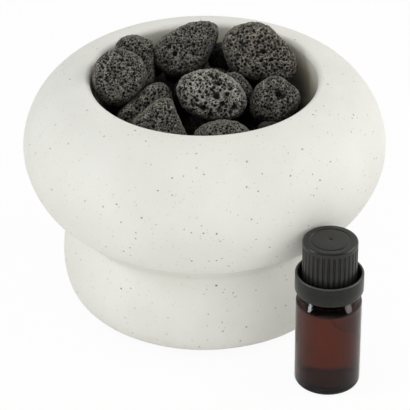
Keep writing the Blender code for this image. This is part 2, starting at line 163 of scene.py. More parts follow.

# Cells in the stones' skin: millimetres across, depth and how dark their middles are painted, as shade
PLAIN_CELLS = (6.5, 0.9, 0.0)
HONEY_CELLS = (2.3, 1.0, 0.8)
DEEP_CELLS = (3.0, 1.5, 0.95)
CELL_BEND = 0.6
CELL_BRIM = 0.6
CELL_LEVEL = 0.45
CELL_USUAL = 0.6
CELL_VARIETY = 1.6
CELL_STRIDE = 5.1
RIDGE_WIDTH = 0.22
HOLLOW_REACH = 0.46

# Pores: tries on a square millimetre, radii, spacing and depth in radii, and their ragged edges and rims,
# which take a painted highlight
PORE_TRIES = 3.0
PORE_SMALLEST = 0.24 * MM
PORE_LARGEST = 0.7 * MM
PORE_LEAST_RANGE = 1.5
PORE_COARSE = 1.2
PORE_FALL = 4.0
PORE_SPACING = 0.85
PORE_DEPTH = (0.7, 1.6)
PORE_RAGGED = 0.42
PORE_SEARCH = 1.6
PORE_EDGE = 2.6
RIM_WIDTH = 0.4

# Painted light on the stones: paler where they face up, within a least and a most
TOP_LIGHT_LEVEL = 0.55
TOP_LIGHT_TILT = 0.6
TOP_LIGHT_RANGE = (0.12, 1.0)

# How a spot on a stone is found: how far aside it may lie, the pull to the front, and what rules a point out
SPOT_ASIDE = 0.4 * MM
SPOT_FRONT = 0.3
SPOT_REFUSED = 10.0

# Larger holes, picked by eye and put in millimetres by a helper script: across, up and radius
HOLES = {
    "lava_stone_01": (
        (-7.3, 0.0, 0.9), (1.8, -6.6, 0.8), (2.7, -1.9, 0.7), (-5.0, 0.8, 0.5), (-0.2, 6.1, 0.5),
        (4.5, -3.1, 0.5), (-2.3, -5.1, 0.5), (-4.0, -9.7, 0.6)),
    "lava_stone_02": (
        (-4.7, 6.4, 0.5), (-0.8, 4.5, 0.6), (3.4, 2.1, 0.6), (-2.0, 7.9, 0.5), (5.5, -2.7, 0.6)),
    "lava_stone_03": (
        (-4.6, -2.2, 1.3), (-6.8, 0.8, 1.1), (-9.0, -3.2, 0.8), (-0.7, 0.0, 0.6), (-3.7, 3.1, 0.6),
        (1.7, -5.7, 0.7), (-2.6, -8.1, 0.7), (-11.0, -4.6, 0.7), (-5.9, -6.3, 0.7), (3.0, 5.7, 0.6),
        (6.0, 2.1, 0.6), (-0.1, 4.5, 0.5), (-8.3, -7.4, 0.6)),
    "lava_stone_04": (
        (1.1, -0.3, 1.2), (7.9, 1.0, 0.8), (-4.7, 10.2, 1.0), (-0.8, 3.7, 0.9), (4.2, -3.2, 1.1),
        (5.4, -7.7, 0.8), (-7.2, -3.7, 0.8), (12.4, -4.6, 0.7), (-4.2, -5.3, 0.7), (-9.6, 1.7, 0.7),
        (-11.7, -1.8, 0.7), (3.1, 2.2, 0.8), (0.0, -3.8, 0.8), (-3.0, -1.3, 0.7), (-7.7, 5.9, 0.7),
        (1.9, 7.1, 0.7), (9.1, -3.2, 0.8), (-6.0, -8.5, 0.7)),
    "lava_stone_06": ((-0.8, 3.5, 0.7), (2.5, 2.6, 0.5), (1.9, 5.7, 0.5)),
    "lava_stone_07": (
        (-3.5, -5.7, 1.6), (-0.7, -8.7, 1.5), (1.8, -1.1, 1.6), (6.0, -0.2, 1.1), (8.9, -5.3, 1.4),
        (2.7, 3.7, 1.0), (12.7, -2.1, 1.1), (-10.0, -4.1, 1.2), (-1.7, 2.5, 0.8), (-4.7, 0.8, 0.8),
        (4.1, -3.7, 1.1), (7.3, -7.6, 1.2), (-12.3, -0.8, 0.8), (-8.2, 3.8, 0.8), (8.3, 4.7, 0.8),
        (0.7, 6.0, 0.7), (-6.7, -1.5, 0.7), (-9.3, -0.1, 0.6), (-5.8, 5.2, 0.6), (10.9, 1.4, 0.7)),
    "lava_stone_08": (
        (1.2, 1.6, 1.6), (2.9, 0.7, 1.3), (-2.9, 5.5, 0.6), (5.6, -2.8, 0.6), (-5.9, 3.2, 0.6),
        (0.6, 6.7, 0.5), (-1.8, -2.8, 0.6), (-5.3, -1.6, 0.5)),
    "lava_stone_09": (
        (4.4, 6.2, 0.9), (1.4, 3.9, 0.7), (7.7, 9.3, 0.7), (-2.7, 0.4, 0.7), (-6.9, -1.5, 0.6),
        (6.2, 5.1, 0.5)),
    "lava_stone_10": (
        (2.7, 4.6, 0.6), (-1.7, -1.8, 0.9), (-4.0, 0.4, 0.6), (4.7, 3.7, 0.7), (0.6, 1.7, 0.6),
        (5.2, -3.0, 0.6), (1.8, 7.5, 0.5)),
    "lava_stone_11": ((-3.1, 6.4, 0.6), (1.6, 6.9, 0.5), (5.6, 5.7, 0.6), (-0.8, 4.6, 0.5)),
}

# Wide scoops that show from the front: millimetres across and up, radius and depth
SCOOPS = {
    "lava_stone_03": ((-5.0, -1.0, 4.5, 0.6),),
    "lava_stone_04": ((-9.0, 2.0, 5.0, 0.9), (5.0, -1.0, 4.0, 0.8)),
    "lava_stone_07": (
        (7.0, -5.0, 4.5, 1.0), (-9.5, -1.0, 3.5, 1.0), (1.5, 3.5, 3.5, 0.8), (-2.5, -7.0, 4.0, 0.8)),
    "lava_stone_08": ((-1.5, 0.4, 3.6, 1.1), (1.8, 1.3, 2.4, 1.0)),
}
SCOOP_POWER = 1.5

# Turned outlines: corners that get a round, its share of a side, smooth joins, and sides of no length
SHARP_CORNER = math.radians(28.0)
ROUND_SHARE = 0.4
ROUND_STEPS = (0.0, 0.33, 0.67, 1.0)
SMOOTH_JOIN = 0.6
NO_DIRECTION = 9.0
SHARP_EDGE = math.radians(50.0)

# Bottle: glass, the sole under it, painted dark as shade, and the oil that wets the glass from inside
BOTTLE_STEPS = 128
GLASS_PIECES = 3
GLASS_ROUND = 0.5 * MM
GLASS_TINTS = ((0.93, 0.85, 0.78, 1), (0.98, 0.93, 0.88, 1))
GLASS_SHEEN = (0.5, 0.5, 0.5, 1)
AMBER = (0.60, 0.30, 0.06, 1)
AMBER_DENSITY = 1750.0
SHOULDER_LIFT = 1.6 * MM
SHOULDER_EDGE_LIFT = 2.1 * MM
SOLE_TOP = 1.2 * MM
SOLE_SHADE_TINTS = ((0.010, 0.006, 0.004, 1), (0.005, 0.003, 0.002, 1))
SOLE_STIPPLE = 1300.0
SOLE_RANGE = (0.1, 0.7)
OIL_TINTS = ((0.93, 0.82, 0.55, 1), (0.96, 0.87, 0.62, 1))
OIL_RISE = 2.3 * MM
OIL_WET = 0.45 * MM
OIL_SKIN = 0.15 * MM

# Thread on the neck: its section is millimetres up and a share of its height outwards
THREAD_PITCH = 3.0 * MM
THREAD_TURNS = 1.5
THREAD_HEIGHT = 0.6 * MM
THREAD_RISE = 1.2 * MM
THREAD_SECTION = ((-0.9, -0.15), (-0.35, 1.0), (0.35, 1.0), (0.9, -0.15))
THREAD_STEPS = 48
THREAD_FADE = 8

# Closure: the cap's ribs and the tamper ring's lip and dish
CLOSURE_PIECES = 2
CAP_ROUND = 0.18 * MM
RIB_COUNT = 32
RIB_DEPTH = 0.6 * MM
RIB_STEPS = 12
RIB_BAND = 1.9 * MM
RIB_RUN = 0.5 * MM
RIB_SKIN = 0.4 * MM
RIB_POWER = 0.6
GROOVE_SHARE = 0.45
RING_ROUND = 0.2 * MM
RING_LIP = 0.35 * MM
RING_DISH_REACH = 1.0 * MM
RING_DISH_DEPTH = 2.4 * MM
# painted highlight on the ring's top edge: how far below the top it starts, its fade and its colour
RING_HIGHLIGHT_DROP = 0.4 * MM
RING_HIGHLIGHT_FADE = 0.2 * MM
RING_HIGHLIGHT_COLOUR = (0.075, 0.073, 0.065, 1)

# Plastics and foams: two tints, roughness and gloss
PLASTICS = {
    "black_cap_plastic": ((0.0135, 0.0132, 0.0118, 1), (0.020, 0.0195, 0.0172, 1), 0.34, 0.32),
    # a darker copy of the cap's plastic: painted shade
    "black_ring_plastic_shaded": ((0.0075, 0.0074, 0.0066, 1), (0.011, 0.0108, 0.0095, 1), 0.28, 0.26),
    "natural_plastic": ((0.78, 0.78, 0.76, 1), (0.84, 0.84, 0.82, 1), 0.35, 0.5),
    "liner_foam": ((0.80, 0.80, 0.77, 1), (0.86, 0.86, 0.83, 1), 0.8, 0.5),
    "pad_foam": ((0.06, 0.06, 0.06, 1), (0.09, 0.09, 0.09, 1), 0.9, 0.5),
}
PLASTIC_ROUGHNESS_RANGE = 0.06

# Pad under the vessel
PAD_STEPS = 96
PAD_RINGS = (0.25, 0.5, 0.75)
PAD_EDGE_STEPS = 8
PAD_UNEVEN = 0.12 * MM
PAD_WAVES = 400.0


def node_centre(node):
    low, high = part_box(node)
    return (low + high) / 2


def principled(name, **values):
    """A new material with its shader's plain values set on the shader's own sockets."""
    material = bpy.data.materials.new(name)
    material.use_nodes = True
    tree = material.node_tree
    shader = tree.nodes["Principled BSDF"]
    for socket, value in values.items():
        shader.inputs[socket.replace("_", " ")].default_value = value
    return material, tree, shader


def add_node(tree, kind, inputs=None, **settings):
    node = tree.nodes.new(kind)
    for key, value in settings.items():
        setattr(node, key, value)
    for key, value in (inputs or {}).items():
        if isinstance(value, bpy.types.NodeSocket):
            tree.links.new(value, node.inputs[key])
        else:
            node.inputs[key].default_value = value
    return node


def position(tree):
    return add_node(tree, "ShaderNodeTexCoord").outputs["Object"]


def attribute_value(tree, name):
    return add_node(tree, "ShaderNodeAttribute", attribute_name=name).outputs["Fac"]


def noise_value(tree, where, scale, detail=3.0, roughness=0.55):
    inputs = {"Vector": where, "Scale": scale, "Detail": detail, "Roughness": roughness}
    return add_node(tree, "ShaderNodeTexNoise", inputs).outputs["Fac"]


def calc(tree, operation, first, second):
    return add_node(tree, "ShaderNodeMath", {0: first, 1: second}, operation=operation).outputs[0]


def spread(tree, value, low, high, to_low=0.0, to_high=1.0):
    inputs = {"Value": value, "From Min": low, "From Max": high, "To Min": to_low, "To Max": to_high}
    return add_node(tree, "ShaderNodeMapRange", inputs).outputs["Result"]


def blended(tree, factor, first, second):
    inputs = {0: factor, 2: first, 3: second}
    return add_node(tree, "ShaderNodeMix", inputs, data_type="FLOAT").outputs[0]


def mix_colour(tree, factor, first, second):
    node = add_node(tree, "ShaderNodeMix", data_type="RGBA")
    for key, value in (("Factor", factor), ("A", first), ("B", second)):
        socket = [s for s in node.inputs if s.name == key and s.enabled][0]
        if isinstance(value, bpy.types.NodeSocket):
            tree.links.new(value, socket)
        else:
            socket.default_value = value
    return [s for s in node.outputs if s.enabled][0]


def bump(tree, shader, height, strength, distance):
    inputs = {"Height": height, "Strength": strength, "Distance": distance}
    node = add_node(tree, "ShaderNodeBump", inputs)
    tree.links.new(node.outputs["Normal"], shader.inputs["Normal"])


def speck_mask(tree, where, cell, smallest, largest, share):
    """Round specks scattered one to a cell, in a share of the cells."""
    cells = add_node(tree, "ShaderNodeTexVoronoi", {"Vector": where, "Scale": 1.0 / cell})
    chance = add_node(tree, "ShaderNodeSeparateColor", {"Color": cells.outputs["Color"]})
    radius = spread(tree, chance.outputs["Red"], 0.0, 1.0, smallest / cell, largest / cell)
    inside = calc(tree, "SUBTRACT", radius, cells.outputs["Distance"])
    edge = SPECK_EDGE / cell
    round_spot = spread(tree, inside, -edge, edge)
    chosen = calc(tree, "LESS_THAN", chance.outputs["Green"], share)
    depth = spread(tree, chance.outputs["Blue"], 0.0, 1.0, SPECK_PALEST, 1.0)
    return calc(tree, "MULTIPLY", calc(tree, "MULTIPLY", round_spot, chosen), depth)


def painted_bowl_shade(tree, where, heights, most):
    """How strong the painted shade is inside the bowl, from none at the first height to most at the second.
    """
    split = add_node(tree, "ShaderNodeSeparateXYZ", {"Vector": where}).outputs
    flat = add_node(tree, "ShaderNodeCombineXYZ", {"X": split["X"], "Y": split["Y"]}).outputs[0]
    radius = add_node(tree, "ShaderNodeVectorMath", {0: flat}, operation="LENGTH").outputs["Value"]
    inside = spread(tree, radius, BOWL_RADIUS, BOWL_RADIUS - BOWL_EDGE)
    ragged = calc(tree, "MULTIPLY", noise_value(tree, where, scale=180.0), BOWL_RAGGED)
    height = calc(tree, "ADD", split["Z"], ragged)
    return calc(tree, "MULTIPLY", inside, spread(tree, height, *heights, 0.0, most))


def stoneware_material():
    """Off-white casting with dark and faint specks, and with painted shade inside the bowl, darker towards
    the bottom.
    """
    material, tree, shader = principled("speckled_stoneware", Roughness=0.7)
    where = position(tree)
    wander = add_node(tree, "ShaderNodeTexNoise", {"Vector": where, "Scale": 1400.0}).outputs["Color"]
    reach = {0: wander, 1: (SPECK_WANDER,) * 3}
    shift = add_node(tree, "ShaderNodeVectorMath", reach, operation="MULTIPLY")
    rough_where = add_node(tree, "ShaderNodeVectorMath", {0: where, 1: shift.outputs[0]}).outputs[0]
    cloud = noise_value(tree, where, scale=38.0, detail=4.0)
    base = mix_colour(tree, spread(tree, cloud, *CLOUD), *CAST_TINTS)
    grain = noise_value(tree, where, scale=2600.0, detail=2.0)
    base = mix_colour(tree, spread(tree, grain, *CAST_GRAIN_RANGE, 0.0, CAST_GRAIN_MOST), base, CAST_GRAIN)
    patchy = noise_value(tree, where, scale=55.0, detail=2.0)
    patches = spread(tree, patchy, *DARK_PATCHES, *DARK_SHARES)
    dark = speck_mask(tree, rough_where, *DARK_SPECKS, patches)
    faint = speck_mask(tree, rough_where, *FAINT_SPECKS, FAINT_SHARE)
    base = mix_colour(tree, calc(tree, "MULTIPLY", faint, FAINT_STRENGTH), base, FAINT_COLOUR)
    base = mix_colour(tree, calc(tree, "MULTIPLY", dark, DARK_STRENGTH), base, DARK_COLOUR)
    # painted shade inside the bowl: warm below the lip, then dark further down
    for heights, most, colour in BOWL_PAINTED_SHADES:
        base = mix_colour(tree, painted_bowl_shade(tree, where, heights, most), base, colour)
    tree.links.new(base, shader.inputs["Base Color"])
    tree.links.new(spread(tree, cloud, *CLOUD, *CAST_ROUGHNESS), shader.inputs["Roughness"])
    fine = noise_value(tree, where, scale=900.0, detail=5.0)
    skin = calc(tree, "ADD", fine, calc(tree, "MULTIPLY", dark, SPECK_RELIEF))
    bump(tree, shader, skin, strength=0.18, distance=0.2 * MM)
    return material


def lava_material(name):
    """Charcoal rock: painted light on its up-facing grain, painted highlights on its ridges and pore rims,
    and painted shade in its pores and fine pits.
    """
    crest, body, ridge_highlight, pit_shade = LAVA_LOOKS[name]
    material, tree, shader = principled(name, Roughness=0.85)
    where = position(tree)
    grain = spread(tree, noise_value(tree, where, scale=1700.0, detail=4.0, roughness=0.75), *LAVA_GRAIN)
    cloud = spread(tree, noise_value(tree, where, scale=170.0), *LAVA_CLOUD)
    # painted light: the lighter grain shows more where the stone faces up
    base = mix_colour(tree, calc(tree, "MULTIPLY", grain, attribute_value(tree, "painted_light")), body, crest)
    base = mix_colour(tree, calc(tree, "MULTIPLY", cloud, LAVA_CLOUD_SHARE), base, body)
    # painted highlight on the ridges and pore rims
    base = mix_colour(tree, calc(tree, "MULTIPLY", attribute_value(tree, "rim_highlight"), ridge_highlight), base, crest)
    cells = add_node(tree, "ShaderNodeTexVoronoi", {"Vector": where, "Scale": 1.0 / FINE_CELL}).outputs
    chance = add_node(tree, "ShaderNodeSeparateColor", {"Color": cells["Color"]}).outputs["Red"]
    middle = spread(tree, cells["Distance"], *FINE_EDGE)
    fine = calc(tree, "MULTIPLY", middle, spread(tree, chance, *FINE_CHANCE))
    # painted shade in the fine pits
    base = mix_colour(tree, calc(tree, "MULTIPLY", fine, pit_shade), base, LAVA_PIT_SHADE)
    # painted shade in the pores and in the cell middles
    base = mix_colour(tree, attribute_value(tree, "pore_shade"), base, LAVA_PIT_SHADE)
    tree.links.new(base, shader.inputs["Base Color"])
    tree.links.new(spread(tree, grain, 0.0, 1.0, *LAVA_ROUGHNESS), shader.inputs["Roughness"])
    crumbs = noise_value(tree, where, scale=2300.0, detail=5.0, roughness=0.7)
    skin = calc(tree, "SUBTRACT", crumbs, calc(tree, "MULTIPLY", fine, FINE_DEPTH))
    bump(tree, shader, skin, strength=0.6, distance=0.4 * MM)
    return material


def glass_material():
    """Amber glass that takes its colour from the thickness the light has crossed."""
    material, tree, shader = principled(
        "amber_glass", Roughness=0.03, IOR=1.5, Transmission_Weight=1.0, Specular_Tint=GLASS_SHEEN)
    where = position(tree)
    cloud = noise_value(tree, where, scale=60.0, detail=2.0)
    tint = mix_colour(tree, spread(tree, cloud, *CLOUD), *GLASS_TINTS)
    tree.links.new(tint, shader.inputs["Base Color"])
    bump(tree, shader, noise_value(tree, where, scale=130.0, detail=2.0), strength=0.05, distance=0.5 * MM)
    body = add_node(tree, "ShaderNodeVolumeAbsorption", {"Color": AMBER, "Density": AMBER_DENSITY})
    tree.links.new(body.outputs["Volume"], tree.nodes["Material Output"].inputs["Volume"])
    return material


def shaded_sole_material():
    """The stippled sole of the bottle, painted near black as the shade seen through the glass's base."""
    material, tree, shader = principled("amber_sole_painted_shade", Roughness=0.45, Specular_IOR_Level=0.3)
    inputs = {"Vector": position(tree), "Scale": SOLE_STIPPLE}
    stipple = add_node(tree, "ShaderNodeTexVoronoi", inputs).outputs["Distance"]
    shade = mix_colour(tree, spread(tree, stipple, *SOLE_RANGE), *SOLE_SHADE_TINTS)
    tree.links.new(shade, shader.inputs["Base Color"])
    bump(tree, shader, stipple, strength=0.4, distance=0.3 * MM)
    return material


def oil_material():
    material, tree, shader = principled("pale_oil", Roughness=0.02, IOR=1.46, Transmission_Weight=1.0)
    shade = spread(tree, noise_value(tree, position(tree), scale=50.0, detail=2.0), *CLOUD)
    tree.links.new(mix_colour(tree, shade, *OIL_TINTS), shader.inputs["Base Color"])
    return material


def plastic_material(name, highlight_height=None):
    """Moulded plastic with a faint mottle and a fine spark-eroded grain, with a pale painted highlight above
    a height.
    """
    dark, light, roughness, gloss = PLASTICS[name]
    material, tree, shader = principled(name, Roughness=roughness, Specular_IOR_Level=gloss)
    where = position(tree)
    mottle = spread(tree, noise_value(tree, where, scale=240.0, detail=4.0), *CLOUD)
    colour = mix_colour(tree, mottle, dark, light)
    if highlight_height is not None:
        height = add_node(tree, "ShaderNodeSeparateXYZ", {"Vector": where}).outputs["Z"]
        # painted highlight above the given height
        painted_light = spread(tree, height, highlight_height, highlight_height + RING_HIGHLIGHT_FADE)
        colour = mix_colour(tree, painted_light, colour, RING_HIGHLIGHT_COLOUR)
    tree.links.new(colour, shader.inputs["Base Color"])
    fine = noise_value(tree, where, scale=3200.0)
    roughest = roughness + PLASTIC_ROUGHNESS_RANGE
    smoothest = roughness - PLASTIC_ROUGHNESS_RANGE
    tree.links.new(spread(tree, fine, *CLOUD, smoothest, roughest), shader.inputs["Roughness"])
    bump(tree, shader, fine, strength=0.12, distance=0.1 * MM)
    return material


def ways_of_seeing(tree):
    """Whether a thing is seen straight, mirrored or through glass: all 0 for light that falls on it."""
    path = add_node(tree, "ShaderNodeLightPath").outputs
    return path["Is Camera Ray"], path["Is Glossy Ray"], path["Is Transmission Ray"]


def floor_material():
    """A white floor that stays white to the eye, also in gloss and glass, and keeps a soft shadow."""
    material, tree, shader = principled("white_floor", Roughness=0.9)
    tint = spread(tree, noise_value(tree, position(tree), scale=3.0, detail=2.0), *CLOUD)
    tree.links.new(mix_colour(tree, tint, *FLOOR_TINTS), shader.inputs["Base Color"])
    white = add_node(tree, "ShaderNodeEmission", {"Color": WHITE, "Strength": 1.0})
    share = 0.0
    for ray, white_share in zip(ways_of_seeing(tree), (FLOOR_WHITE, FLOOR_MIRRORED, FLOOR_THROUGH)):
        share = calc(tree, "MAXIMUM", calc(tree, "MULTIPLY", ray, white_share), share)
    inputs = {0: share, 1: shader.outputs["BSDF"], 2: white.outputs["Emission"]}
    mixed = add_node(tree, "ShaderNodeMixShader", inputs)
    tree.links.new(mixed.outputs[0], tree.nodes["Material Output"].inputs["Surface"])
    return material


def add_piece(name, mesh, material, body, node=None):
    mesh.materials.clear()
    mesh.materials.append(material)
    piece = bpy.data.objects.new(name, mesh)
    bpy.context.scene.collection.objects.link(piece)
    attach(piece, body)
    if node:
        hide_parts(node)
    return piece


def paint(node, material):
    """A CAD node that stays as it is takes a finished material."""
    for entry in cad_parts[node].material_slots:
        entry.material = material


def meridian(node):
    """(radius, height) points in order along one side of a turned node, and whether it is a ring.

    A node that isn't a ring is closed on its axis, by flat faces at both ends of the outline.
    """
    centre = node_centre(node)
    builder = bmesh.new()
    builder.from_mesh(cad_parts[node].data)
    bmesh.ops.remove_doubles(builder, verts=builder.verts, dist=MERGE)
    points = {}
    for vert in builder.verts:
        if vert.co.x - centre.x > NEAR and abs(vert.co.y - centre.y) < NEAR:
            points[vert] = Vector((vert.co.x - centre.x, vert.co.z))
    links = {v: [w for w in (e.other_vert(v) for e in v.link_edges) if w in points] for v in points}
    ends = [v for v in points if len(links[v]) < 2]
    order = [ends[0] if ends else next(iter(points))]
    while True:
        ahead = [v for v in links[order[-1]] if v not in order]
        if not ahead:
            break
        order.append(min(ahead, key=lambda v: (points[v] - points[order[-1]]).length))
    profile = [tuple(points[v]) for v in order]
    builder.free()
    if ends:
        profile = [(0.0, profile[0][1])] + profile + [(0.0, profile[-1][1])]
    return profile, not ends


def eased(profile, closed, reach):
    """The profile with each sharp corner turned by a small round."""
    result = []
    count = len(profile)
    for i, here in enumerate(profile):
        here = Vector(here)
        if not closed and i in (0, count - 1):
            result.append(tuple(here))
            continue
        back = Vector(profile[i - 1]) - here
        ahead = Vector(profile[(i + 1) % count]) - here
        if math.pi - back.angle(ahead) < SHARP_CORNER:
            result.append(tuple(here))
            continue
        first = here + back.normalized() * min(reach, back.length * ROUND_SHARE)
        last = here + ahead.normalized() * min(reach, ahead.length * ROUND_SHARE)
        for s in ROUND_STEPS:
            result.append(tuple(first * (1 - s) ** 2 + here * 2 * s * (1 - s) + last * s ** 2))
    return result


def refined(profile, closed, pieces):
    """The profile through the same points with smooth curves between them, straight at corners."""
    count = len(profile)
    result = []
    for i in range(count if closed else count - 1):
        p = [Vector(profile[(i + k) % count]) for k in (-1, 0, 1, 2)]
        span = p[2] - p[1]
        start, end = span, span
        if (closed or i > 0) and span.angle(p[1] - p[0], NO_DIRECTION) < SMOOTH_JOIN:
            start = (p[2] - p[0]).normalized() * span.length
        if (closed or i < count - 2) and span.angle(p[3] - p[2], NO_DIRECTION) < SMOOTH_JOIN:
            end = (p[3] - p[1]).normalized() * span.length
        for k in range(pieces):
            s = k / pieces
            point = (p[1] * (2 * s ** 3 - 3 * s ** 2 + 1) + start * (s ** 3 - 2 * s ** 2 + s)
                     + p[2] * (-2 * s ** 3 + 3 * s ** 2) + end * (s ** 3 - s ** 2))
            result.append((max(point.x, 0.0), point.y))
    if not closed:
        result.append(tuple(profile[-1]))
    return result


def ring_point(radius, height, turn):
    return Vector((math.cos(turn) * radius, math.sin(turn) * radius, height))


def smooth_mesh(name, builder):
    """The builder's closed mesh, with its faces turned outwards and shaded smooth."""
    bmesh.ops.recalc_face_normals(builder, faces=builder.faces)
    mesh = bpy.data.meshes.new(name)
    builder.to_mesh(mesh)
    builder.free()
    mesh.shade_smooth()
    return mesh


def revolved(name, profile, closed, steps, centre, shape=None):
    """A closed mesh turned about an upright axis. shape(radius, height, turn) may change a radius."""
    builder = bmesh.new()
    rings = []
    for radius, height in profile:
        if radius == 0.0:
            rings.append([builder.verts.new((centre.x, centre.y, height))])
            continue
        ring = []
        for k in range(steps):
            turn = 2 * math.pi * k / steps
            reach = shape(radius, height, turn) if shape else radius
            ring.append(builder.verts.new(
                (centre.x + reach * math.cos(turn), centre.y + reach * math.sin(turn), height)))
        rings.append(ring)
    pairs = list(zip(rings, rings[1:]))
    if closed:
        pairs.append((rings[-1], rings[0]))
    for upper, lower in pairs:
        for k in range(steps):
            corners = [upper[k % len(upper)], lower[k % len(lower)],
                       lower[(k + 1) % len(lower)], upper[(k + 1) % len(upper)]]
            unique = list(dict.fromkeys(corners))
            if len(unique) > 2:
                builder.faces.new(unique)
    mesh = smooth_mesh(name, builder)
    mesh.set_sharp_from_angle(angle=SHARP_EDGE)
    return mesh


def make_vessel():
    """The casting, turned with a wall that is slightly uneven."""
    profile, closed = meridian("vessel")
    profile = refined(profile, closed, VESSEL_PIECES)

    def cast(radius, height, turn):
        return radius + CAST_UNEVEN * noise.noise(ring_point(radius, height, turn) * CAST_WAVES)

    mesh = revolved("vessel", profile, closed, VESSEL_STEPS, Vector(), cast)
    add_piece("vessel_casting", mesh, stoneware_material(), "diffuser", "vessel")


def make_pad():
    """The foam pad under the vessel, a disc with a soft edge and a slightly uneven skin."""
    low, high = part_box("base_pad")
    edge = (high.z - low.z) / 2
    reach = (high.x - low.x) / 2 - edge
    profile = [(0.0, high.z)] + [(reach * share, high.z) for share in PAD_RINGS]
    for k in range(PAD_EDGE_STEPS + 1):
        turn = math.pi * (0.5 - k / PAD_EDGE_STEPS)
        profile.append((reach + edge * math.cos(turn), low.z + edge + edge * math.sin(turn)))
    profile += [(reach * share, low.z) for share in reversed(PAD_RINGS)] + [(0.0, low.z)]

    def uneven(radius, height, turn):
        return radius + PAD_UNEVEN * (noise.noise(ring_point(radius, height, turn) * PAD_WAVES) - 1.0)

    mesh = revolved("base_pad", profile, False, PAD_STEPS, node_centre("base_pad"), uneven)
    pad = add_piece("base_pad_form", mesh, plastic_material("pad_foam"), "diffuser", "base_pad")


def remeshed(node, voxel):
    """A fine even mesh of a stone's solid, rounded between its facets."""
    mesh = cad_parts[node].data.copy()
    builder = bmesh.new()
    builder.from_mesh(mesh)
    bmesh.ops.remove_doubles(builder, verts=builder.verts, dist=MERGE)
    builder.to_mesh(mesh)
    builder.free()
    lump = bpy.data.objects.new("lump", mesh)
    bpy.context.scene.collection.objects.link(lump)
    rounding = lump.modifiers.new("Round", "SUBSURF")
    rounding.levels = STONE_ROUNDING
    rounding.render_levels = STONE_ROUNDING
    even = lump.modifiers.new("Even", "REMESH")
    even.mode = "VOXEL"
    even.voxel_size = voxel
    fine = bpy.data.meshes.new_from_object(lump.evaluated_get(bpy.context.evaluated_depsgraph_get()))
    bpy.data.objects.remove(lump)
    return fine


def arrays_of(mesh):
    count = len(mesh.vertices)
    points = np.empty(count * 3)
    normals = np.empty(count * 3)
    mesh.vertices.foreach_get("co", points)
    mesh.vertex_normals.foreach_get("vector", normals)
    return points.reshape(-1, 3), normals.reshape(-1, 3)


def roughened(points, normals, seed, cells):
    """A stone's skin with dents, ridges and crumbs.

    Also returns a ragged value that breaks up round outlines, and each point's share of ridge,
    which takes a painted highlight, and of painted shade in its cell.
    """
    size, deep, dark = cells
    shift = Vector([seed * step for step in SEED_SHIFT])
    move = np.empty(len(points))
    ragged = np.empty(len(points))
    ridge = np.empty(len(points))
    cell_shade = np.empty(len(points))
    for i, point in enumerate(points):
        where = Vector(point)
        broad = noise.noise(where * BROAD[0] + shift)
        middle = noise.noise(where * MIDDLE[0] + shift)
        crumb = noise.noise(where * CRUMB[0] + shift)
        bent = where + Vector((middle, crumb, broad)) * CELL_BEND * MM
        distances, places = noise.voronoi(bent / (size * MM) + shift)
        near, second = distances[:2]
        own = min(1.0, max(0.0, CELL_USUAL + CELL_VARIETY * noise.noise(places[0] * CELL_STRIDE)))
        ridge[i] = max(0.0, 1.0 - (second - near) / RIDGE_WIDTH)
        # painted shade in the cell's middle
        cell_shade[i] = dark * own * max(0.0, 1.0 - (near / HOLLOW_REACH) ** 2)
        dents = BROAD[1] * broad + MIDDLE[1] * middle + CRUMB[1] * crumb
        move[i] = dents + deep * own * (min(near, CELL_BRIM) - CELL_LEVEL)
        ragged[i] = crumb + middle
    return points + normals * (move * MM + STONE_SWELL)[:, None], ragged, ridge, cell_shade


def facing_point(points, middle, across, up):
    """The point of a stone nearest a spot on its front, as seen along the camera's slope."""
    rise = np.array((0.0, math.sin(CAMERA_ELEVATION), math.cos(CAMERA_ELEVATION)))
    ahead = np.array((0.0, -math.cos(CAMERA_ELEVATION), math.sin(CAMERA_ELEVATION)))
    local = points - np.array(middle)
    aside = np.hypot(local[:, 0] - across * MM, local @ rise - up * MM)
    return int(np.argmin(aside - SPOT_FRONT * local @ ahead + SPOT_REFUSED * (aside > SPOT_ASIDE)))


def scooped(node, points, normals):
    """The points with a stone's wide scoops pressed in."""
    for across, up, radius, depth in SCOOPS.get(node, ()):
        centre = points[facing_point(points, node_centre(node), across, up)]
        reach = np.linalg.norm(points - centre, axis=1) / (radius * MM)
        sink = depth * MM * np.clip(1.0 - reach * reach, 0.0, 1.0) ** SCOOP_POWER
        points = points - normals * sink[:, None]
    return points


def pore_list(node, points, chooser, area, smallest, largest):
    """The listed holes, then scattered pores from large to small with walls between them."""
    middle = node_centre(node)
    pores = []
    for across, up, radius in HOLES.get(node, ()):
        pores.append((tuple(points[facing_point(points, middle, across, up)]), radius * MM))
    sizes = [smallest + (largest - smallest) * chooser.random() ** PORE_FALL
             for _ in range(int(area / MM ** 2 * PORE_TRIES))]
    cell = 2.0 * largest
    grid = {}

    def home_of(centre):
        return tuple(int(value // cell) for value in centre)

    for centre, radius in pores:
        grid.setdefault(home_of(centre), []).append((centre, radius))
    for radius in sorted(sizes, reverse=True):
        centre = tuple(points[chooser.randrange(len(points))])
        x, y, z = home_of(centre)
        near = [entry for dx in (-1, 0, 1) for dy in (-1, 0, 1) for dz in (-1, 0, 1)
                for entry in grid.get((x + dx, y + dy, z + dz), ())]
        if all(math.dist(centre, other) > (radius + reach) * PORE_SPACING for other, reach in near):
            grid.setdefault((x, y, z), []).append((centre, radius))
            pores.append((centre, radius))
    return pores


